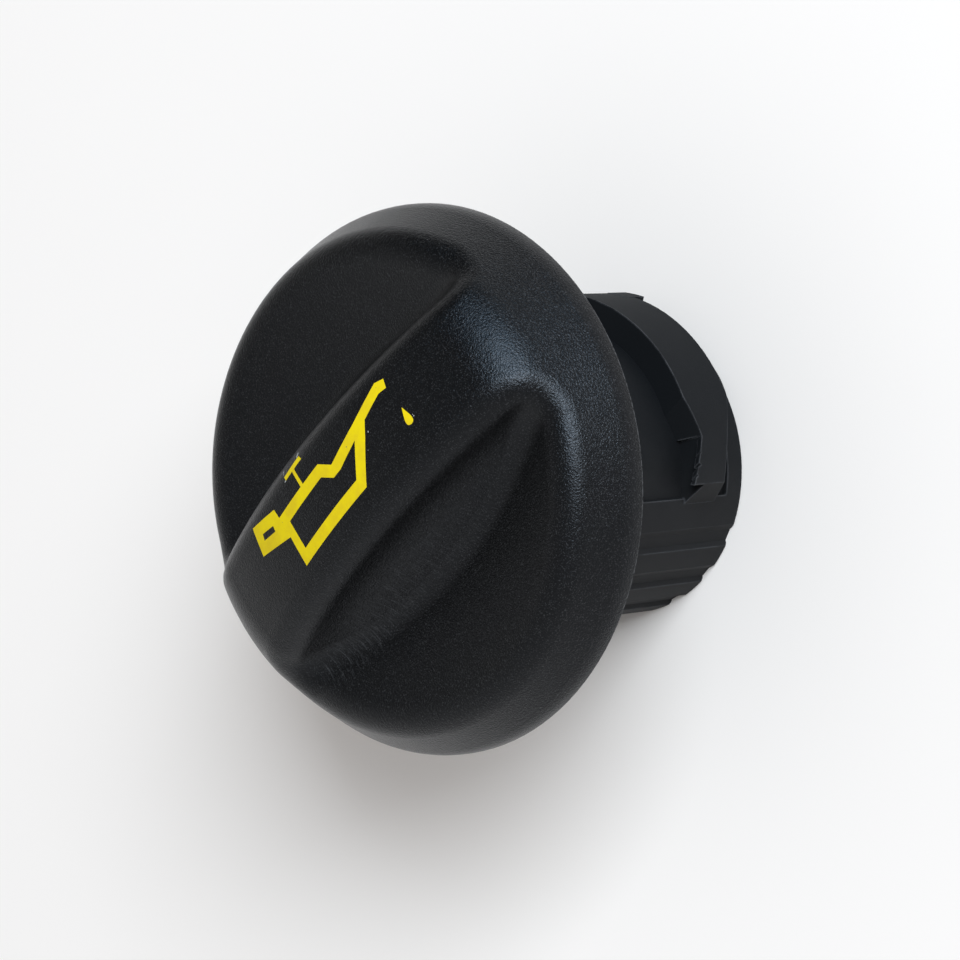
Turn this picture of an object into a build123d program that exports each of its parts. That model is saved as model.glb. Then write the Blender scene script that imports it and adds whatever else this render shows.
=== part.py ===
from build123d import *
from math import radians, tan, sin, cos, asin, degrees, pi
import os

# Oil filler cap of an engine: a moulded plastic cap with a grip bar across its face, a hollow neck
# with two bayonet lugs, and a rubber seal round the neck's root. Millimetres.
# +Z is the cap's axis, out of its face. +X runs along the grip bar.
# The origin is on the axis in the plane of the seal's underside, which sits on the filler's rim.

# Head
head_diameter = 64.0        # over the rim
rim_height = 2.0            # rim's lower edge above the sealing plane
rim_land = 0.5              # upright part of the rim, with the parting line
rim_roll = 4.4              # round of the rim from its upright part into the flank
flank_angle = 62.0          # flank of the rim and of the grip's ends, degrees from level
rim_edge_chamfer = 0.3      # along the rim's lower edge

# Grip bar
grip_height = 17.0          # top of the grip above the rim's lower edge
crown_radius = 75.0         # the grip's top is part of a sphere
end_round = 10.0            # round from the crown into the grip's ends
grip_width = 15.2           # across the top, edges taken as sharp
grip_draft = 6.0            # lean of the grip's upper sides, degrees from upright
grip_side_depth = 5.2       # depth of the upper sides below the top
skirt_angle = 51.0          # slope of the grip's lower sides, degrees from level
side_bend = 8.0             # hollow round between upper and lower sides
side_arc = 90.0             # the sides follow this arc along the bar

# Finger scoops beside the grip
scoop_floor = 6.0           # floor above the rim's lower edge, where it meets the grip's side
scoop_foot = 13.0           # distance of that place from the cap's middle plane
scoop_rise = 9.0            # the floor climbs outwards, degrees
scoop_end_rise = 5.3        # the floor climbs this far along the bar, from the middle to the rim
scoop_crease = 2.8          # hollow round between the grip's side and the floor
scoop_edge = 3.6            # round of the grip's top edges and of the scoop's outer edge

# Hollow underside
head_wall = 3.0             # plastic over the hollows
grip_wall = 2.8             # plastic beside the grip's hollow
channel_inner = 46.4        # inner diameter of the channel under the rim
rim_wall = 2.4              # plastic outside the channel, at the rim's edge
channel_draft = 20.0        # lean of the channel's outer wall, degrees
pocket_width = 11.0         # hollow under each end of the grip
pocket_height = 5.0         # above the channel's ceiling
pocket_inset = 0.6          # pocket's end wall inside the channel's outer wall

# Neck
neck_diameter = 36.8
neck_length = 33.4          # from the sealing plane to the neck's end
neck_wall = 2.8
neck_end_chamfer = 0.25
root_diameter = 35.0        # at the seal's groove

# Bayonet lugs, one on each end of the grip's direction, angles from +X in degrees
lug_diameter = 42.6         # over both lugs
lug_start = -53.0           # where the lug starts, at the neck
lug_end = 42.0              # where it ends
lug_end_slant = 9.0         # lean of the starting face over the lug's height
lug_lock_depth = 20.9       # locking edge below the sealing plane
lug_foot_depth = 32.5       # lug's lower end below the sealing plane
detent_angle = -29.4        # lowest place of the detent valley
detent_depth = 1.5          # below the locking edge
detent_run = 13.0           # angle over which the locking edge falls into the valley
stop_rise = 0.5             # the ragged stop ends this far above the locking edge
stop_end = -45.0            # angle of its end
stop_thickness = 0.8
notches = ((-34.6, 0.3), (-38.4, 0.55), (-41.8, 0.4))   # angle and depth of each notch in the stop's edge
ramp_start_depth = 26.1     # lug's lower edge at its start, below the sealing plane
ramp_angle = 32.5           # slope of the lower face along the lug, down to the lug's lower end
ramp_lean = 25.5            # its slope across the lug
lead_in_height = 3.4        # slope at the lug's lower end
lead_in_depth = 2.2
corner_start = 34.0         # a taller corner is left from this angle to the lug's end
corner_rise = 0.05          # it stands this far out of the lug
corner_depth = 31.0         # and ends this far below the sealing plane
corner_height = 3.4

# Neck's outside between the lugs
relief_depth = 0.6          # the wall under each lug is set back
relief_top = 11.5           # below the sealing plane
relief_foot = 3.0           # above the neck's end
relief_half_angle = 51.0
flute_width = 2.0           # at the neck's surface, without the gentle slope
flute_depth = 0.5
flute_slope = 1.2           # width of the gentle slope on one side
flute_bevel = 0.5           # width of the steep slope on the other side
flute_pitch = 18.4          # degrees
flute_shift = -6.8          # the middle of each row of flutes, degrees from the grip's cross direction
flutes_per_side = 4

# Seal
seal_diameter = 45.6
seal_thickness = 3.0
seal_clearance = 0.1        # between the seal's bore and the neck's root
seal_chamfer = 1.3          # lower inner edge
seal_round = 0.5

head_radius = head_diameter / 2
rim_z = rim_height
top_z = rim_z + grip_height
floor_z = rim_z + scoop_floor
neck_radius = neck_diameter / 2
bore_radius = neck_radius - neck_wall
lug_radius = lug_diameter / 2
ceiling_z = floor_z - head_wall
beyond = head_diameter      # length that cutting solids reach past the cap
overlap = 1.0               # length that joined solids run into each other


def rounded(edges, radius):
    """Rounds edges, with a slightly smaller radius where the full one does not fit."""
    for share in (1.0, 0.9, 0.8, 0.7, 0.55, 0.4, 0.25):
        try:
            result = fillet(edges, radius * share)
            if result.is_valid:
                return result
        except (ValueError, RuntimeError):
            continue
    raise ValueError("no radius fits")


def section(points, corner=None, corner_round=0.0):
    """A flat face from points in space, with one corner rounded if asked."""
    face = make_face(Polyline(*points, close=True)).faces()[0]
    if corner is None:
        return face
    spot = Vector(*corner)
    vertex = min(face.vertices(), key=lambda v: (v.center() - spot).length)
    return face.fillet_2d(corner_round, [vertex])


def turned(points, arc=360.0, start=0.0, corner=None, corner_round=0.0):
    """A solid turned about the cap's axis from (radius, height) points."""
    spot = (corner[0], 0, corner[1]) if corner else None
    face = section([(r, 0, z) for r, z in points], spot, corner_round)
    return Rot(0, 0, start) * revolve(face, axis=Axis.Z, revolution_arc=arc)


def swept(points, crest_z, arc, corner=None, corner_round=0.0):
    """A cross-section of (y, z) points carried along the bar on an arc: it falls off to both ends,
    or climbs to them where the arc is negative."""
    spot = (0, corner[0], corner[1]) if corner else None
    face = section([(0, y, z) for y, z in points], spot, corner_round)
    half_angle = degrees(asin(min(0.9, 1.3 * head_radius / abs(arc))))
    axis = Axis((0, 0, crest_z - arc), (0, 1, 0))
    return revolve(face.rotate(axis, -half_angle), axis=axis, revolution_arc=2 * half_angle)


def side_cut(points, lean=0.0):
    """A solid with (y, z) outline that reaches from the middle plane past the cap towards +X."""
    way = (cos(radians(lean)), 0, sin(radians(lean)))
    return extrude(section([(0, y, z) for y, z in points]), amount=beyond, dir=way)


def dome_solid():
    """The head without scoops: rolled rim, conical flank and crowned top."""
    slope = radians(flank_angle)
    half_way = slope / 2 + radians(45)
    center_r = head_radius - rim_roll
    center_z = rim_z + rim_land
    roll_mid = (center_r + rim_roll * sin(half_way), 0, center_z + rim_roll * cos(half_way))
    roll_end = (center_r + rim_roll * sin(slope), 0, center_z + rim_roll * cos(slope))
    above = top_z + end_round
    flank_end = (roll_end[0] - (above - roll_end[2]) / tan(slope), 0, above)
    outline = [
        Line((0, 0, rim_z), (head_radius, 0, rim_z)),
        Line((head_radius, 0, rim_z), (head_radius, 0, center_z)),
        ThreePointArc((head_radius, 0, center_z), roll_mid, roll_end),
        Line(roll_end, flank_end),
        Line(flank_end, (0, 0, above)),
        Line((0, 0, above), (0, 0, rim_z)),
    ]
    cone = revolve(make_face(outline), axis=Axis.Z)
    dome = cone & (Pos(0, 0, top_z - crown_radius) * Sphere(crown_radius))
    level = [e for e in dome.edges() if abs(e.position_at(0).Z - e.position_at(0.5).Z) < 1e-6]
    shoulder = max(level, key=lambda e: e.position_at(0).Z)
    return rounded([shoulder], end_round)


def scoop_solid():
    """What one finger scoop takes away: all that lies beyond the grip's side and above the floor."""
    reach = head_radius / 2
    high = top_z + reach
    lean = tan(radians(grip_draft))
    spread = 1 / tan(radians(skirt_angle))
    top_y = grip_width / 2
    bend = (top_y + lean * grip_side_depth, top_z - grip_side_depth)
    low = bend[1] - reach
    side_points = [
        (top_y - lean * reach, high),
        bend,
        (bend[0] + spread * reach, low),
        (beyond, low),
        (beyond, high),
    ]
    side = swept(side_points, top_z, side_arc, bend, side_bend)
    climb = tan(radians(scoop_rise))
    floor_points = [
        (0, floor_z - climb * scoop_foot),
        (beyond, floor_z + climb * (beyond - scoop_foot)),
        (beyond, high),
        (0, high),
    ]
    floor_arc = (head_radius ** 2 + scoop_end_rise ** 2) / (2 * scoop_end_rise)
    scoop = side & swept(floor_points, floor_z, -floor_arc)
    crease = []
    for edge in scoop.edges():
        middle = edge.position_at(0.5)
        if abs(middle.X) < 1 and middle.Z < bend[1] - 1 and middle.Y < beyond / 2:
            crease.append(edge)
    return rounded(crease, scoop_crease)


def hollow_solid():
    """The hollows under the head: the channel inside the rim and the pockets under the grip's ends."""
    inner = channel_inner / 2
    outer = head_radius - rim_wall
    shift = (ceiling_z - rim_z) * tan(radians(channel_draft))
    channel = turned([
        (inner, rim_z - overlap),
        (outer, rim_z - overlap),
        (outer, rim_z),
        (outer - shift, ceiling_z),
        (inner, ceiling_z),
    ])
    pocket_outer = outer - shift - pocket_inset
    pocket_top = ceiling_z + pocket_height
    narrowing = pocket_height / tan(radians(flank_angle))
    pocket_ring = turned([
        (inner, ceiling_z - overlap),
        (pocket_outer, ceiling_z - overlap),
        (pocket_outer, ceiling_z),
        (max(inner + overlap, pocket_outer - narrowing), pocket_top),
        (inner, pocket_top),
    ])
    pockets = pocket_ring & Pos(0, 0, ceiling_z) * Box(beyond, pocket_width, 4 * pocket_height)
    return channel + pockets


def bore_solid():
    """The hollow inside the neck, which goes on up into the grip."""
    bore = Pos(0, 0, (ceiling_z - neck_length) / 2) * Cylinder(bore_radius, ceiling_z + neck_length)
    lean = tan(radians(grip_draft))
    narrow = grip_width / 2 - grip_wall
    wide = narrow + lean * (top_z - ceiling_z)
    low = ceiling_z - overlap
    slot_face = section([(0, -wide, low), (0, wide, low), (0, narrow, top_z), (0, -narrow, top_z)])
    slot = extrude(slot_face, amount=bore_radius, both=True)
    inner_crown = Pos(0, 0, top_z - crown_radius) * Sphere(crown_radius - head_wall)
    slot = slot & inner_crown & Cylinder(bore_radius, 4 * top_z)
    return bore + slot


def lug_band(top, start, end):
    """A length of the lug's band below a height, with its lead-in."""
    root = neck_radius - neck_wall / 2
    points = [
        (root, -lug_foot_depth),
        (lug_radius - lead_in_depth, -lug_foot_depth),
        (lug_radius, -lug_foot_depth + lead_in_height),
        (lug_radius, top),
        (root, top),
    ]
    return turned(points, end - start, start)


def stop_solid(valley_z, stop_z):
    """The thin ragged stop on the lug's edge, which climbs from the detent valley."""
    valley_y = lug_radius * sin(radians(detent_angle))
    end_y = lug_radius * sin(radians(stop_end))
    inner = lug_radius - stop_thickness
    low = valley_z - overlap
    high = stop_z + overlap
    ring = [(inner, low), (lug_radius, low), (lug_radius, high), (inner, high)]
    stop = turned(ring, detent_angle - stop_end, stop_end)
    climb = (stop_z - valley_z) / (valley_y - end_y)
    stop = stop - side_cut([
        (valley_y + overlap, valley_z - climb * overlap),
        (end_y - overlap, stop_z + climb * overlap),
        (end_y - overlap, stop_z + beyond),
        (valley_y + overlap, stop_z + beyond),
    ])
    for angle, depth in notches:
        y = lug_radius * sin(radians(angle))
        z = valley_z + climb * (valley_y - y)
        stop = stop - side_cut([(y, z - depth), (y + depth, z + overlap), (y - depth, z + overlap)])
    return stop


def lug_solid():
    """One bayonet lug on +X: locking edge, detent valley, ragged stop, falling lower face and corner."""
    lock_z = -lug_lock_depth
    valley_z = lock_z - detent_depth
    fall_y = lug_radius * sin(radians(detent_angle + detent_run))
    valley_y = lug_radius * sin(radians(detent_angle))
    high = lock_z + neck_length
    lug = lug_band(lock_z, detent_angle, lug_end)
    lug = lug - side_cut([
        (fall_y, high),
        (fall_y, lock_z),
        (valley_y, valley_z),
        (valley_y - overlap, valley_z),
        (valley_y - overlap, high),
    ])
    lug = lug + lug_band(valley_z, lug_start, detent_angle) + stop_solid(valley_z, lock_z + stop_rise)
    crest_start = radians(lug_start + lug_end_slant)
    fall = tan(radians(ramp_angle))
    ramp_y = lug_radius * sin(crest_start)
    ramp_z = -ramp_start_depth - lug_radius * cos(crest_start) * tan(radians(ramp_lean))
    ramp = [
        (ramp_y - lug_radius, ramp_z + lug_radius * fall),
        (ramp_y + beyond, ramp_z - beyond * fall),
        (ramp_y - lug_radius, ramp_z - beyond * fall),
    ]
    lug = lug - side_cut(ramp, ramp_lean)
    root = neck_radius - neck_wall / 2
    corner_r = lug_radius + corner_rise
    lug = lug + turned(
        [
            (root, -corner_depth),
            (corner_r, -corner_depth),
            (corner_r, -corner_depth + corner_height - corner_rise),
            (lug_radius, -corner_depth + corner_height),
            (root, -corner_depth + corner_height),
        ],
        lug_end - corner_start,
        corner_start,
    )
    height = lug_radius - neck_radius
    spread = 2 * lug_radius * sin(radians(lug_end_slant / 2))
    slant_face = section([
        (neck_radius, -overlap, -neck_length),
        (neck_radius, 0, -neck_length),
        (lug_radius + height, 2 * spread, -neck_length),
        (lug_radius + height, -overlap, -neck_length),
    ])
    slant = extrude(slant_face, amount=neck_length, dir=(0, 0, 1))
    return lug - Rot(0, 0, lug_start) * slant


def neck_solid():
    """The neck's outside: seal groove, set-back walls, flutes and both lugs, before it is hollowed."""
    root = root_diameter / 2
    neck = turned([
        (0, -neck_length),
        (neck_radius - neck_end_chamfer, -neck_length),
        (neck_radius, -neck_length + neck_end_chamfer),
        (neck_radius, -seal_clearance),
        (root, -seal_clearance),
        (root, seal_thickness + overlap),
        (0, seal_thickness + overlap),
    ])
    inner = neck_radius - relief_depth
    relief = turned(
        [
            (inner, -neck_length + relief_foot),
            (neck_radius + overlap, -neck_length + relief_foot),
            (neck_radius + overlap, -relief_top),
            (inner, -relief_top),
        ],
        2 * relief_half_angle,
        -relief_half_angle,
    )
    bottom = neck_radius - flute_depth
    half = flute_width / 2
    flute_face = section([
        (neck_radius + overlap, -half, -neck_length - overlap),
        (neck_radius, -half, -neck_length - overlap),
        (bottom, flute_bevel - half, -neck_length - overlap),
        (bottom, half, -neck_length - overlap),
        (neck_radius, half + flute_slope, -neck_length - overlap),
        (neck_radius + overlap, half + flute_slope, -neck_length - overlap),
    ])
    flute = extrude(flute_face, amount=neck_length + overlap - relief_top, dir=(0, 0, 1))
    lug = lug_solid()
    for turn in (0, 180):
        neck = neck - Rot(0, 0, turn) * relief
        for i in range(flutes_per_side):
            angle = turn + 90 + flute_shift + (i - (flutes_per_side - 1) / 2) * flute_pitch
            neck = neck - Rot(0, 0, angle) * flute
    for turn in (0, 180):
        neck = neck + Rot(0, 0, turn) * lug
    return neck


def with_scoops(body, dome):
    """The body with both finger scoops cut into its dome, and their edges and the rim's edge finished."""
    scoop = scoop_solid()
    scoops = [scoop, mirror(scoop, about=Plane.XZ)]
    body = body - scoops[0] - scoops[1]
    for cutter in scoops:
        ridge = []
        for edge in body.edges():
            middle = edge.position_at(0.5)
            on_dome = min(face.distance_to(middle) for face in dome.faces()) < 1e-3
            on_scoop = min(face.distance_to(middle) for face in cutter.faces()) < 1e-3
            if on_dome and on_scoop:
                ridge.append(edge)
        body = rounded(ridge, scoop_edge)
    rim = []
    for edge in body.edges():
        middle = edge.position_at(0.5)
        if abs(middle.Z - rim_z) < 1e-4 and abs(Vector(middle.X, middle.Y, 0).length - head_radius) < 1e-4:
            rim.append(edge)
    return chamfer(rim, rim_edge_chamfer)


def cap_solid():
    """The whole moulding: head, seat for the seal and neck, hollowed from below."""
    seat = turned([
        (0, rim_z - overlap),
        (channel_inner / 2, rim_z - overlap),
        (channel_inner / 2, seal_thickness),
        (0, seal_thickness),
    ])
    dome = dome_solid()
    body = dome - seat - hollow_solid()
    body = body + neck_solid() - bore_solid()
    return with_scoops(body, dome)


def seal_solid():
    """The flat rubber ring in the groove at the neck's root."""
    inner = root_diameter / 2 + seal_clearance
    outer = seal_diameter / 2
    ring = turned([
        (inner + seal_chamfer, 0),
        (outer, 0),
        (outer, seal_thickness),
        (inner, seal_thickness),
        (inner, seal_chamfer),
    ])
    rims = [e for e in ring.edges() if abs(e.length - 2 * pi * outer) < 1e-3]
    return rounded(rims, seal_round)


cap_body = cap_solid()
seal_ring = seal_solid()
os.makedirs("parts", exist_ok=True)
for name, solid in (("cap_body", cap_body), ("seal_ring", seal_ring)):
    solid = solid.solids()[0] if len(solid.solids()) == 1 else solid
    solid.label = name
    export_step(solid, os.path.join("parts", name + ".step"))
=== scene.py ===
import bpy
import numpy as np
from mathutils import Matrix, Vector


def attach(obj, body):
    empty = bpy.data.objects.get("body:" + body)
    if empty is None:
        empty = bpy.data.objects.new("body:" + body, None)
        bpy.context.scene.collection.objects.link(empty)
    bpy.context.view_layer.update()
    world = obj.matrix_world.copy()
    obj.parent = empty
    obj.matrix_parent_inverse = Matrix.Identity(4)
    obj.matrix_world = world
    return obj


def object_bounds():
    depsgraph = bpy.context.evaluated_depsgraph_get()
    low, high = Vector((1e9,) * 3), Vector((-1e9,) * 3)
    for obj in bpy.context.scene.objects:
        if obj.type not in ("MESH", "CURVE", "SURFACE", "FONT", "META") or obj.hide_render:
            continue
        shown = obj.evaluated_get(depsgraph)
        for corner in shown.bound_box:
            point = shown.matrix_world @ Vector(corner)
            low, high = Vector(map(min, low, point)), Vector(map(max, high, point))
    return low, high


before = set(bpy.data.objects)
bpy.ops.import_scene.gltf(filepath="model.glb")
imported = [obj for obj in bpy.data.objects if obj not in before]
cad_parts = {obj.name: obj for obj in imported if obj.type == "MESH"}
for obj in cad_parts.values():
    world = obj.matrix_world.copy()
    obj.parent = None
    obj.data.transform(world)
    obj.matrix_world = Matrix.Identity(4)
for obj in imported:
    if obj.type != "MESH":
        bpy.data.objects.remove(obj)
cad_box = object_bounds()


# The cap body: one moulding of black glass-filled nylon, with head, grip bar, neck and lugs in one shot.
# The head's half of the mould is spark-eroded and leaves a fine pebbled grain; the neck is left smooth.
# Handling has scratched the grip's -Y side and rubbed the rim's edge pale.

MM = 0.001
NYLON = (0.0015, 0.0015, 0.0017, 1.0)
HEAD_ROUGHNESS = 0.26
NECK_ROUGHNESS = 0.68
NYLON_SHINE = 0.25
NYLON_SHINE_TINT = (0.86, 0.91, 1.0, 1.0)
HEAD_STARTS = (0.6 * MM, 1.6 * MM)

NODE_GAP = 220
NODES_IN_ROW = 8
BLEND_SOCKETS = {"FLOAT": (2, 3, 0), "RGBA": (6, 7, 2)}


def put(tree, kind, **settings):
    """Adds one node in the next free place of the tree, row by row, with settings of its own."""
    row, column = divmod(len(tree.nodes), NODES_IN_ROW)
    made = tree.nodes.new(kind)
    made.location = (NODE_GAP * (column - NODES_IN_ROW), -NODE_GAP * row)
    for key, value in settings.items():
        setattr(made, key, value)
    return made


def feed(tree, value, socket):
    """Links an output into a socket, or sets a plain number, direction or colour there."""
    if isinstance(value, bpy.types.NodeSocket):
        tree.links.new(value, socket)
    else:
        socket.default_value = value


def sums(tree, operation, first, second, clamp=False):
    """A Math node on two values, each an output or a number, and its output."""
    made = put(tree, "ShaderNodeMath", operation=operation, use_clamp=clamp)
    feed(tree, first, made.inputs[0])
    feed(tree, second, made.inputs[1])
    return made.outputs[0]


def alignment(tree, first, second):
    """The dot product of two directions, each an output or a tuple, and its output."""
    made = put(tree, "ShaderNodeVectorMath", operation="DOT_PRODUCT")
    feed(tree, first, made.inputs[0])
    feed(tree, second, made.inputs[1])
    return made.outputs["Value"]


def band(tree, value, ends):
    """A smooth step of a value from 0 at the first end to 1 at the second, which may be the lower one."""
    made = put(tree, "ShaderNodeMapRange", interpolation_type="SMOOTHSTEP")
    made.inputs["From Min"].default_value = ends[0]
    made.inputs["From Max"].default_value = ends[1]
    feed(tree, value, made.inputs["Value"])
    return made.outputs["Result"]


def within(tree, pattern, limits):
    """A pattern times one smooth step for each limit, a limit being a value and its two ends."""
    for value, ends in limits:
        pattern = sums(tree, "MULTIPLY", pattern, band(tree, value, ends))
    return pattern


def blend(tree, kind, share, first, second):
    """A Mix node from first to second by a share, for numbers (FLOAT) or colours (RGBA), and its output."""
    made = put(tree, "ShaderNodeMix", data_type=kind)
    first_socket, second_socket, result = BLEND_SOCKETS[kind]
    feed(tree, share, made.inputs[0])
    feed(tree, first, made.inputs[first_socket])
    feed(tree, second, made.inputs[second_socket])
    return made.outputs[result]


def grain(tree, place, scale, detail=2.0, roughness=0.5, distortion=0.0):
    """A noise texture on a place, and its value."""
    made = put(tree, "ShaderNodeTexNoise")
    made.inputs["Scale"].default_value = scale
    made.inputs["Detail"].default_value = detail
    made.inputs["Roughness"].default_value = roughness
    made.inputs["Distortion"].default_value = distortion
    feed(tree, place, made.inputs["Vector"])
    return made.outputs[0]


def stretched(tree, place, scale, turn):
    """The place scaled along its axes and then turned, so that a pattern on it gets a direction."""
    made = put(tree, "ShaderNodeMapping")
    made.inputs["Scale"].default_value = scale
    made.inputs["Rotation"].default_value = turn
    feed(tree, place, made.inputs["Vector"])
    return made.outputs[0]


def emboss(tree, shader, height, strength, depth):
    """Tilts the shader's normal along a height pattern whose full step is a depth in metres."""
    made = put(tree, "ShaderNodeBump")
    made.inputs["Strength"].default_value = strength
    made.inputs["Distance"].default_value = depth
    feed(tree, height, made.inputs["Height"])
    feed(tree, made.outputs[0], shader.inputs["Normal"])


def new_material(name):
    """A new node material, its node tree, its shader and the object's own coordinates."""
    made = bpy.data.materials.new(name)
    made.use_nodes = True
    tree = made.node_tree
    shader = tree.nodes["Principled BSDF"]
    place = put(tree, "ShaderNodeTexCoord").outputs["Object"]
    return made, tree, shader, place


nylon, tree, shader, place = new_material("black_nylon")
xyz = put(tree, "ShaderNodeSeparateXYZ")
feed(tree, place, xyz.inputs[0])
x_pos, y_pos, z_pos = xyz.outputs
out_x = sums(tree, "MULTIPLY", x_pos, x_pos)
out_y = sums(tree, "MULTIPLY", y_pos, y_pos)
radius = sums(tree, "SQRT", sums(tree, "ADD", out_x, out_y), 0.0)
on_head = band(tree, z_pos, HEAD_STARTS)

# pebbled grain of the head: short bent bumps about a quarter of a millimetre long
PEBBLES = {"scale": 4400.0, "detail": 1.0, "roughness": 0.45, "distortion": 0.6}
FINE_PITS = {"scale": 7800.0, "detail": 1.0}
FINE_SHARE = 0.50
NECK_SKIN = {"scale": 5200.0}
NECK_SHARE = 0.22
GRAIN_STRENGTH = 1.0
GRAIN_DEPTH = 0.062 * MM
fine = sums(tree, "MULTIPLY", grain(tree, place, **FINE_PITS), FINE_SHARE)
head_height = sums(tree, "ADD", grain(tree, place, **PEBBLES), fine)
neck_height = sums(tree, "MULTIPLY", grain(tree, place, **NECK_SKIN), NECK_SHARE)
height = blend(tree, "FLOAT", on_head, neck_height, head_height)
emboss(tree, shader, height, GRAIN_STRENGTH, GRAIN_DEPTH)

# short scratches across the foot of the grip's -Y side, where fingers turn it, fading towards +X
SCRATCH_STRETCH = (7600.0, 460.0, 460.0)
SCRATCH_TURN = (0.0, 0.0, 0.12)
SCRATCHES = {"scale": 1.0, "detail": 3.0, "roughness": 0.6}
SCRATCH_CUT = (0.50, 0.70)
SCRATCH_INNER_Y = (-8.2 * MM, -10.0 * MM)
SCRATCH_OUTER_Y = (-14.0 * MM, -12.2 * MM)
SCRATCH_TOP_Z = (14.0 * MM, 12.5 * MM)
SCRATCH_FOOT_Z = (7.6 * MM, 9.0 * MM)
SCRATCH_FADE_X = (20.0 * MM, -16.0 * MM)
SCRATCH_END_X = (-24.5 * MM, -21.0 * MM)
SCRATCH_WEIGHT = 0.30
across = stretched(tree, place, SCRATCH_STRETCH, SCRATCH_TURN)
streaks = band(tree, grain(tree, across, **SCRATCHES), SCRATCH_CUT)
scratched_area = (
    (y_pos, SCRATCH_INNER_Y), (y_pos, SCRATCH_OUTER_Y), (z_pos, SCRATCH_TOP_Z),
    (z_pos, SCRATCH_FOOT_Z), (x_pos, SCRATCH_FADE_X), (x_pos, SCRATCH_END_X),
)
scuffs = sums(tree, "MULTIPLY", within(tree, streaks, scratched_area), SCRATCH_WEIGHT)

# the rim's lower edge, rubbed pale in places
RIM_RADIUS = 32.0 * MM
RIM_EDGE_Z = 2.0 * MM
RUBBED_RADIUS = (RIM_RADIUS - 0.42 * MM, RIM_RADIUS - 0.16 * MM)
RUBBED_Z = (RIM_EDGE_Z + 0.50 * MM, RIM_EDGE_Z + 0.26 * MM)
RUBBING = {"scale": 1700.0, "detail": 3.0}
RUBBING_CUT = (0.36, 0.62)
rubbing = band(tree, grain(tree, place, **RUBBING), RUBBING_CUT)
rubbed = within(tree, rubbing, ((radius, RUBBED_RADIUS), (z_pos, RUBBED_Z)))

# painted highlights on the neck's moulded edges, a little paler: where the normal of a rounded edge leaves
# that of the face, broken up by noise
EDGE_RADIUS = 0.36 * MM
EDGE_SAMPLES = 6
EDGE_COSINE = (0.985, 0.90)
EDGE_BELOW_Z = (-2.0 * MM, -4.0 * MM)
EDGE_BEYOND_RADIUS = (17.95 * MM, 18.15 * MM)
EDGE_BREAKUP = {"scale": 420.0}
EDGE_BREAKUP_CUT = (0.25, 0.6)
rounded = put(tree, "ShaderNodeBevel", samples=EDGE_SAMPLES)
rounded.inputs["Radius"].default_value = EDGE_RADIUS
face = put(tree, "ShaderNodeNewGeometry")
bend = alignment(tree, rounded.outputs[0], face.outputs["True Normal"])
edge_breakup = grain(tree, place, **EDGE_BREAKUP)
edge_area = ((z_pos, EDGE_BELOW_Z), (radius, EDGE_BEYOND_RADIUS), (edge_breakup, EDGE_BREAKUP_CUT))
painted_edge_highlights = within(tree, band(tree, bend, EDGE_COSINE), edge_area)

# the neck's tone paler in soft patches that spread towards -Y, and pale specks painted into the head's grain
# as glints of its pebbles
CLOUDS = {"scale": 130.0, "detail": 4.0, "roughness": 0.6}
PALER_PATCHES_Y = (-2.0 * MM, -26.0 * MM)
PALER_PATCHES_CUT = (0.60, 1.25)
GLINT_SPECKS = {"scale": 6200.0, "roughness": 0.6}
GLINT_SPECK_CUT = (0.55, 0.69)
NYLON_NECK = (0.0070, 0.0066, 0.0066, 1.0)
NYLON_GLINT_SPECK = (0.0280, 0.0286, 0.0302, 1.0)
clouds = grain(tree, place, **CLOUDS)
paler_patches = band(tree, sums(tree, "ADD", clouds, band(tree, y_pos, PALER_PATCHES_Y)), PALER_PATCHES_CUT)
# pale specks painted into the head's grain, standing for the glints of its pebbles
painted_glint_specks = band(tree, grain(tree, place, **GLINT_SPECKS), GLINT_SPECK_CUT)
# the neck turns paler in soft patches, more of them towards -Y
neck_tone = blend(tree, "RGBA", paler_patches, NYLON, NYLON_NECK)
head_tone = blend(tree, "RGBA", painted_glint_specks, NYLON, NYLON_GLINT_SPECK)

# the finish: tone and gloss of head and neck, then the painted edge highlights, scratches and rubbing over
# them
NYLON_EDGE_HIGHLIGHT = (0.048, 0.050, 0.055, 1.0)
NYLON_SCUFFED = (0.085, 0.088, 0.094, 1.0)
CLOUD_ROUGHNESS = 0.10
MARK_ROUGHNESS = 0.2
marks = sums(tree, "MAXIMUM", scuffs, rubbed, clamp=True)
tone = blend(tree, "RGBA", on_head, neck_tone, head_tone)
# painted highlight: the neck's rounded edges turn paler
tone = blend(tree, "RGBA", painted_edge_highlights, tone, NYLON_EDGE_HIGHLIGHT)
tone = blend(tree, "RGBA", marks, tone, NYLON_SCUFFED)
feed(tree, tone, shader.inputs["Base Color"])
rough = blend(tree, "FLOAT", on_head, NECK_ROUGHNESS, HEAD_ROUGHNESS)
rough = sums(tree, "ADD", rough, sums(tree, "MULTIPLY", clouds, CLOUD_ROUGHNESS))
rough = sums(tree, "ADD", rough, sums(tree, "MULTIPLY", marks, MARK_ROUGHNESS))
feed(tree, rough, shader.inputs["Roughness"])
shader.inputs["Specular IOR Level"].default_value = NYLON_SHINE
shader.inputs["Specular Tint"].default_value = NYLON_SHINE_TINT

cap_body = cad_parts["cap_body"]
cap_body.data.materials.clear()
cap_body.data.materials.append(nylon)


# The seal: a flat moulded ring of black nitrile rubber, matte, with a pale bloom in its skin.
# It is stretched over the lugs and sits in the groove at the neck's root.

RUBBER = (0.011, 0.011, 0.0115, 1.0)
RUBBER_BLOOM = (0.030, 0.030, 0.031, 1.0)
RUBBER_SHINE = 0.3
RUBBER_ROUGHNESS = 0.58
BLOOM = {"scale": 240.0, "detail": 5.0, "roughness": 0.65}
BLOOM_CUT = (0.4, 0.75)
BLOOM_ROUGHNESS = 0.18
RUBBER_SKIN = {"scale": 4200.0}
RUBBER_SKIN_STRENGTH = 0.6
RUBBER_SKIN_DEPTH = 0.03 * MM

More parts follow.
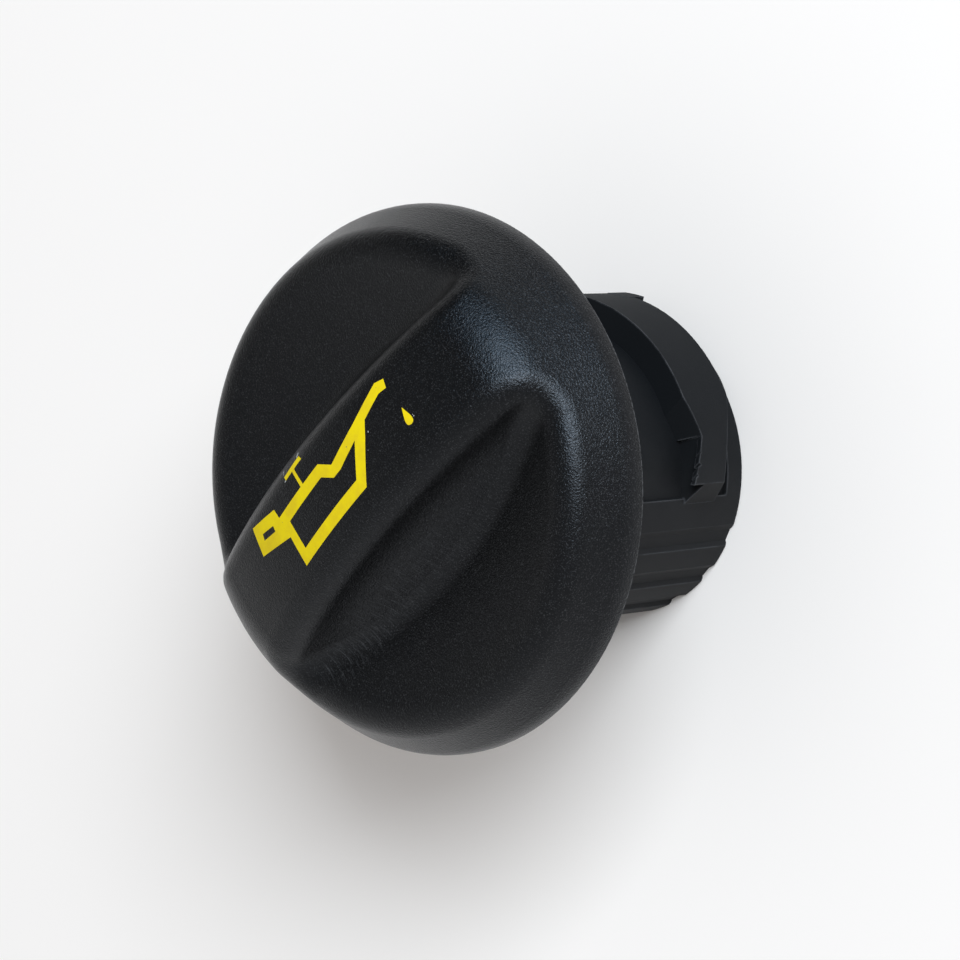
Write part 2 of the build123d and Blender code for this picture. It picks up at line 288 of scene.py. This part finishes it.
rubber, tree, shader, place = new_material("seal_rubber")
bloom = grain(tree, place, **BLOOM)
tone = blend(tree, "RGBA", band(tree, bloom, BLOOM_CUT), RUBBER, RUBBER_BLOOM)
feed(tree, tone, shader.inputs["Base Color"])
rough = sums(tree, "ADD", sums(tree, "MULTIPLY", bloom, BLOOM_ROUGHNESS), RUBBER_ROUGHNESS)
feed(tree, rough, shader.inputs["Roughness"])
emboss(tree, shader, grain(tree, place, **RUBBER_SKIN), RUBBER_SKIN_STRENGTH, RUBBER_SKIN_DEPTH)
shader.inputs["Specular IOR Level"].default_value = RUBBER_SHINE

seal_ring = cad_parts["seal_ring"]
seal_ring.data.materials.clear()
seal_ring.data.materials.append(rubber)


# The mark on the grip's top: an oil can with a falling drop, in yellow hot-stamping foil.
# The foil is pressed into the grained nylon, so it lies on the crown and bends over the grip's edge.
# Each stroke is a patch between four corners, in millimetres along and across the grip.

YELLOW = (0.800, 0.630, 0.0035, 1.0)
YELLOW_THIN = (0.690, 0.510, 0.0110, 1.0)
FOIL_SHINE = 0.12
FOIL_ROUGHNESS = 0.36
FOIL_WEAR = {"scale": 420.0, "detail": 4.0, "roughness": 0.6}
FOIL_WEAR_CUT = (0.3, 0.75)
FOIL_WEAR_ROUGHNESS = 0.2
FOIL_PITS = {"scale": 3600.0, "detail": 1.0, "roughness": 0.45, "distortion": 0.6}
FOIL_PIT_STRENGTH = 0.5
FOIL_PIT_DEPTH = 0.03 * MM
PINHOLES = {"scale": 2600.0}
PINHOLE_CUT = (0.74, 0.80)
FOIL_LIFT = 0.014 * MM
FOIL_THICKNESS = 0.045 * MM
FOIL_WELD = 0.004 * MM
FOIL_START = 2 * MM
STROKE_STEPS = 10

can = {
    "handle_left": (-13.69, 5.18), "handle_top": (-8.88, 4.08), "handle_foot": (-14.51, 1.66),
    "hole_left": (-12.63, 3.48), "hole_top": (-10.34, 2.89), "hole_right": (-10.49, 2.17),
    "hole_foot": (-12.90, 2.74), "joint_top": (-8.81, 2.78), "joint_foot": (-8.80, 0.00),
    "back_top": (-7.57, 1.33), "back_middle": (-7.64, -0.19), "back_foot": (-7.75, -2.46),
    "heel": (-9.15, -3.93), "shoulder": (0.49, 3.07), "shoulder_in": (-0.06, 1.61),
    "waist": (2.13, 1.63), "waist_in": (1.46, 0.29), "waist_end": (2.88, 0.34),
    "spout_root": (7.48, 3.06), "spout_in": (6.58, 1.45), "spout_bend": (12.50, 4.69),
    "spout_bend_in": (12.30, 3.36), "spout_foot": (9.10, 2.32), "breast": (7.90, 0.67),
    "toe": (4.48, -3.62), "toe_in": (3.91, -2.09), "tip": (13.74, 4.29), "tip_in": (13.47, 3.20),
    "stem_left": (-3.37, 5.20), "stem_right": (-2.92, 5.22), "stem_foot": (-2.86, 2.93),
    "stem_heel": (-3.36, 2.91), "bar_left": (-4.95, 5.67), "bar_left_in": (-4.90, 5.12),
    "bar_right_in": (-1.25, 5.36), "bar_right": (-1.56, 6.01),
}
strokes = (
    ("handle_left", "hole_left", "hole_foot", "handle_foot"),
    ("handle_left", "handle_top", "hole_top", "hole_left"),
    ("handle_top", "joint_top", "hole_right", "hole_top"),
    ("hole_right", "joint_top", "joint_foot", "joint_foot"),
    ("hole_foot", "hole_right", "joint_foot", "handle_foot"),
    ("joint_top", "back_top", "back_middle", "joint_foot"),
    ("joint_foot", "back_middle", "back_foot", "heel"),
    ("joint_top", "shoulder", "shoulder_in", "back_top"),
    ("shoulder", "waist", "waist_in", "shoulder_in"),
    ("waist", "waist_end", "waist_in", "waist_in"),
    ("waist", "spout_root", "spout_in", "waist_end"),
    ("spout_root", "spout_foot", "breast", "spout_in"),
    ("spout_root", "spout_bend", "spout_bend_in", "spout_foot"),
    ("spout_bend", "tip", "tip_in", "spout_bend_in"),
    ("spout_in", "breast", "toe", "toe_in"),
    ("toe_in", "toe", "heel", "back_foot"),
    ("stem_left", "stem_right", "stem_foot", "stem_heel"),
    ("bar_left", "bar_left_in", "bar_right_in", "bar_right"),
)
DROP_TIP = np.array((13.80, 0.04))
DROP_FOOT = np.array((13.68, -2.28))
DROP_HALF_WIDTH = 0.50
DROP_PEAK = 0.62


def patch(corners, steps):
    """Points between four corners: each corner weighted by how near the two parameters are to it."""
    u, v = np.meshgrid(np.linspace(0, 1, steps + 1), np.linspace(0, 1, steps + 1), indexing="ij")
    weights = np.stack(((1 - u) * (1 - v), u * (1 - v), u * v, (1 - u) * v), axis=-1)
    return weights @ np.asarray(corners, float)


def drop(tip, foot, half_width, steps):
    """A drop: at t along its line the half width goes as t times sqrt(1 - t^4), whose peak is 0.62."""
    t, q = np.meshgrid(np.linspace(0, 1, 2 * steps + 1), np.linspace(-1, 1, steps + 1), indexing="ij")
    line = foot - tip
    across_line = np.array((-line[1], line[0])) / np.hypot(*line)
    half = half_width / DROP_PEAK * t * np.sqrt(1 - t ** 4)
    return tip + t[..., None] * line + (q * half)[..., None] * across_line


def grid_faces(rows, columns, start):
    """Four-cornered faces between neighbours in a grid of points that are numbered row by row from start."""
    index = start + np.arange(rows * columns).reshape(rows, columns)
    corners = (index[:-1, :-1], index[1:, :-1], index[1:, 1:], index[:-1, 1:])
    return np.stack(corners, axis=-1).reshape(-1, 4)


def foil_piece(name, grids, material):
    """Lays flat grids of points on the cap from above, welds what meets and gives them a thickness.
    A grid whose two directions make a left turn faces up, and the faces of any other are turned round."""
    points, faces, start = [], [], 0
    for grid in grids:
        rows, columns = grid.shape[:2]
        quads = grid_faces(rows, columns, start)
        along_rows = grid[1, 0] - grid[0, 0] + grid[-1, -1] - grid[-2, -1]
        along_columns = grid[0, 1] - grid[0, 0] + grid[-1, -1] - grid[-1, -2]
        if along_rows[0] * along_columns[1] - along_rows[1] * along_columns[0] < 0:
            quads = quads[:, ::-1]
        points.append(grid.reshape(-1, 2))
        faces.append(quads)
        start += rows * columns
    flat = np.concatenate(points) * MM
    above = np.full((len(flat), 1), cad_box[1][2] + FOIL_START)
    mesh = bpy.data.meshes.new(name)
    mesh.from_pydata(np.hstack((flat, above)).tolist(), [], np.concatenate(faces).tolist())
    piece = bpy.data.objects.new(name, mesh)
    bpy.context.scene.collection.objects.link(piece)
    weld = piece.modifiers.new("weld", "WELD")
    weld.merge_threshold = FOIL_WELD
    wrap = piece.modifiers.new("lay", "SHRINKWRAP")
    wrap.target = cap_body
    wrap.wrap_method = "PROJECT"
    wrap.use_project_z = True
    wrap.use_negative_direction = True
    wrap.use_positive_direction = False
    wrap.offset = FOIL_LIFT
    wall = piece.modifiers.new("thickness", "SOLIDIFY")
    wall.thickness = FOIL_THICKNESS
    wall.offset = -1.0
    bpy.context.view_layer.update()
    laid = piece.evaluated_get(bpy.context.evaluated_depsgraph_get())
    done = bpy.data.meshes.new_from_object(laid)
    piece.modifiers.clear()
    piece.data = done
    bpy.data.meshes.remove(mesh)
    done.name = name
    done.materials.clear()
    done.materials.append(material)
    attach(piece, "root")


foil, tree, shader, place = new_material("yellow_foil")
worn = grain(tree, place, **FOIL_WEAR)
pinholes = band(tree, grain(tree, place, **PINHOLES), PINHOLE_CUT)
tone = blend(tree, "RGBA", band(tree, worn, FOIL_WEAR_CUT), YELLOW, YELLOW_THIN)
tone = blend(tree, "RGBA", pinholes, tone, NYLON_SCUFFED)
feed(tree, tone, shader.inputs["Base Color"])
rough = sums(tree, "ADD", sums(tree, "MULTIPLY", worn, FOIL_WEAR_ROUGHNESS), FOIL_ROUGHNESS)
feed(tree, rough, shader.inputs["Roughness"])
emboss(tree, shader, grain(tree, place, **FOIL_PITS), FOIL_PIT_STRENGTH, FOIL_PIT_DEPTH)
shader.inputs["Specular IOR Level"].default_value = FOIL_SHINE

grids = [patch([can[corner] for corner in stroke], STROKE_STEPS) for stroke in strokes]
grids.append(drop(DROP_TIP, DROP_FOOT, DROP_HALF_WIDTH, STROKE_STEPS))
foil_piece("oil_can_print", grids, foil)


# Torn edges of the foil's carrier film: a few pale, half-matte flakes of thin polyester beside the mark.
# The heat of the stamp stuck them to the nylon. Each is a tiny patch with four uneven corners,
# given by the two places of its middle, its length and its width in millimetres, and its turn in degrees.

FLAKE = (0.46, 0.48, 0.50, 1.0)
FLAKE_DULL = (0.20, 0.21, 0.22, 1.0)
FLAKE_ROUGHNESS = 0.3
DULLING = {"scale": 2400.0, "detail": 3.0}
DULLING_CUT = (0.35, 0.65)
DULLING_ROUGHNESS = 0.3
FLAKE_CORNERS = np.array(((-0.5, -0.32), (0.5, -0.5), (0.38, 0.5), (-0.42, 0.36)))
FLAKE_STEPS = 4

flakes = (
    (-1.78, 6.28, 0.62, 0.30, 50.0), (-4.98, 6.22, 0.55, 0.12, 80.0), (-5.02, 5.12, 0.30, 0.16, 10.0),
    (14.46, -1.74, 0.16, 0.11, 30.0), (14.45, -1.52, 0.10, 0.09, 75.0), (8.66, 0.93, 0.20, 0.12, 60.0),
    (7.36, -0.66, 0.11, 0.09, 0.0),
)


def flake(middle_x, middle_y, length, width, turn):
    """The four corners scaled by length and width, turned by an angle and moved to the middle."""
    shape = FLAKE_CORNERS * (length, width)
    cosine, sine = np.cos(np.radians(turn)), np.sin(np.radians(turn))
    return shape @ np.array(((cosine, sine), (-sine, cosine))) + (middle_x, middle_y)


film, tree, shader, place = new_material("film_flakes")
dull = grain(tree, place, **DULLING)
tone = blend(tree, "RGBA", band(tree, dull, DULLING_CUT), FLAKE, FLAKE_DULL)
feed(tree, tone, shader.inputs["Base Color"])
rough = sums(tree, "ADD", sums(tree, "MULTIPLY", dull, DULLING_ROUGHNESS), FLAKE_ROUGHNESS)
feed(tree, rough, shader.inputs["Roughness"])
foil_piece("film_flakes", [patch(flake(*each), FLAKE_STEPS) for each in flakes], film)


# The floor: a plain sheet of matte, nearly white paper, laid flat just under the neck's end.
# The cap stands on it upright.

PAPER = (0.980, 0.940, 0.918, 1.0)
PAPER_LOW = (0.972, 0.932, 0.910, 1.0)
PAPER_ROUGHNESS = 0.9
PAPER_SHINE = 0.1
PAPER_CLOUDS = {"scale": 40.0}
FLOOR_HALF = 0.6
FLOOR_GAP = 0.02 * MM
FLOOR_POINTS = 9

side_line = np.linspace(-FLOOR_HALF, FLOOR_HALF, FLOOR_POINTS)
floor_x, floor_y = np.meshgrid(side_line, side_line, indexing="ij")
floor_z = np.full_like(floor_x, cad_box[0][2] - FLOOR_GAP)
floor_points = np.stack((floor_x, floor_y, floor_z), axis=-1).reshape(-1, 3)
floor_mesh = bpy.data.meshes.new("floor")
floor_mesh.from_pydata(floor_points.tolist(), [], grid_faces(FLOOR_POINTS, FLOOR_POINTS, 0).tolist())
floor = bpy.data.objects.new("floor", floor_mesh)
bpy.context.scene.collection.objects.link(floor)
paper, tree, shader, place = new_material("floor_paper")
tone = blend(tree, "RGBA", grain(tree, place, **PAPER_CLOUDS), PAPER, PAPER_LOW)
feed(tree, tone, shader.inputs["Base Color"])
shader.inputs["Roughness"].default_value = PAPER_ROUGHNESS
shader.inputs["Specular IOR Level"].default_value = PAPER_SHINE
floor_mesh.materials.append(paper)


# The studio: pale surroundings, which the camera sees as white and reflections see dim towards +X and +Y.
# A large square softbox stands beyond the grip's +X end, and a wider one beside it shows in reflections only.
# The camera has the photograph's place and lens.

SURROUND_LIGHT = 0.42
SURROUND_COLOUR = (1.0, 0.995, 0.985, 1.0)
WALL_LEVEL = 0.46
WALL_SLOPE = (-0.44, -0.32, -0.12)
WALL_DARKEST = 0.02

world = bpy.data.worlds.new("studio")
bpy.context.scene.world = world
world.use_nodes = True
tree = world.node_tree
background = tree.nodes["Background"]
background.inputs["Color"].default_value = SURROUND_COLOUR
ray = put(tree, "ShaderNodeLightPath").outputs
direction = put(tree, "ShaderNodeTexCoord").outputs["Generated"]
wall = sums(tree, "ADD", alignment(tree, direction, WALL_SLOPE), WALL_LEVEL)
wall = sums(tree, "MAXIMUM", wall, WALL_DARKEST)
mirrored = sums(tree, "MAXIMUM", ray["Is Glossy Ray"], ray["Is Transmission Ray"])
strength = blend(tree, "FLOAT", mirrored, SURROUND_LIGHT, wall)
strength = sums(tree, "MAXIMUM", strength, ray["Is Camera Ray"])
feed(tree, strength, background.inputs["Strength"])

LAMP_DISTANCE = 2.0
KEY_DIRECTION = (0.780, -0.110, 0.616)
KEY_SIZE = 1.0
KEY_POWER = 46.0
KEY_COLOUR = (0.88, 0.95, 1.0)
SHINE_DIRECTION = (0.786, 0.150, 0.600)
SHINE_SIZE = 1.2
SHINE_POWER = 27.0
SHINE_COLOUR = (0.50, 0.77, 1.0)


def facing(right, up, back, place):
    """A placement from three unit axes and a point, for things that look along their own -Z."""
    return Matrix(((right[0], up[0], back[0], place[0]), (right[1], up[1], back[1], place[1]),
                   (right[2], up[2], back[2], place[2]), (0, 0, 0, 1)))


def soft_lamp(name, direction, size, power, colour):
    """A square lamp in a direction from the origin, which it faces, with two level sides."""
    lamp = bpy.data.lights.new(name, "AREA")
    lamp.size = size
    lamp.energy = power
    lamp.color = colour
    made = bpy.data.objects.new(name, lamp)
    bpy.context.scene.collection.objects.link(made)
    away = np.array(direction) / np.linalg.norm(direction)
    level = np.cross((0, 0, 1), away)
    level = level / np.linalg.norm(level)
    made.matrix_world = facing(level, np.cross(away, level), away, LAMP_DISTANCE * away)
    return made


soft_lamp("softbox", KEY_DIRECTION, KEY_SIZE, KEY_POWER, KEY_COLOUR)
shine = soft_lamp("window_shine", SHINE_DIRECTION, SHINE_SIZE, SHINE_POWER, SHINE_COLOUR)
shine.visible_diffuse = False

CAMERA_RIGHT = (0.548432, -0.504888, -0.666566)
CAMERA_UP = (0.639446, 0.766884, -0.054754)
CAMERA_BACK = (0.538823, -0.396204, 0.743433)
CAMERA_PLACE = (0.221729, -0.163659, 0.299796)
CAMERA_LENS = 131.16
CAMERA_SENSOR = 36.0
CAMERA_NEAR = 0.01

camera_data = bpy.data.cameras.new("camera")
camera_data.lens = CAMERA_LENS
camera_data.sensor_width = CAMERA_SENSOR
camera_data.clip_start = CAMERA_NEAR
camera = bpy.data.objects.new("camera", camera_data)
bpy.context.scene.collection.objects.link(camera)
camera.matrix_world = facing(CAMERA_RIGHT, CAMERA_UP, CAMERA_BACK, CAMERA_PLACE)
bpy.context.scene.camera = camera
bpy.context.scene.view_settings.view_transform = "Standard"
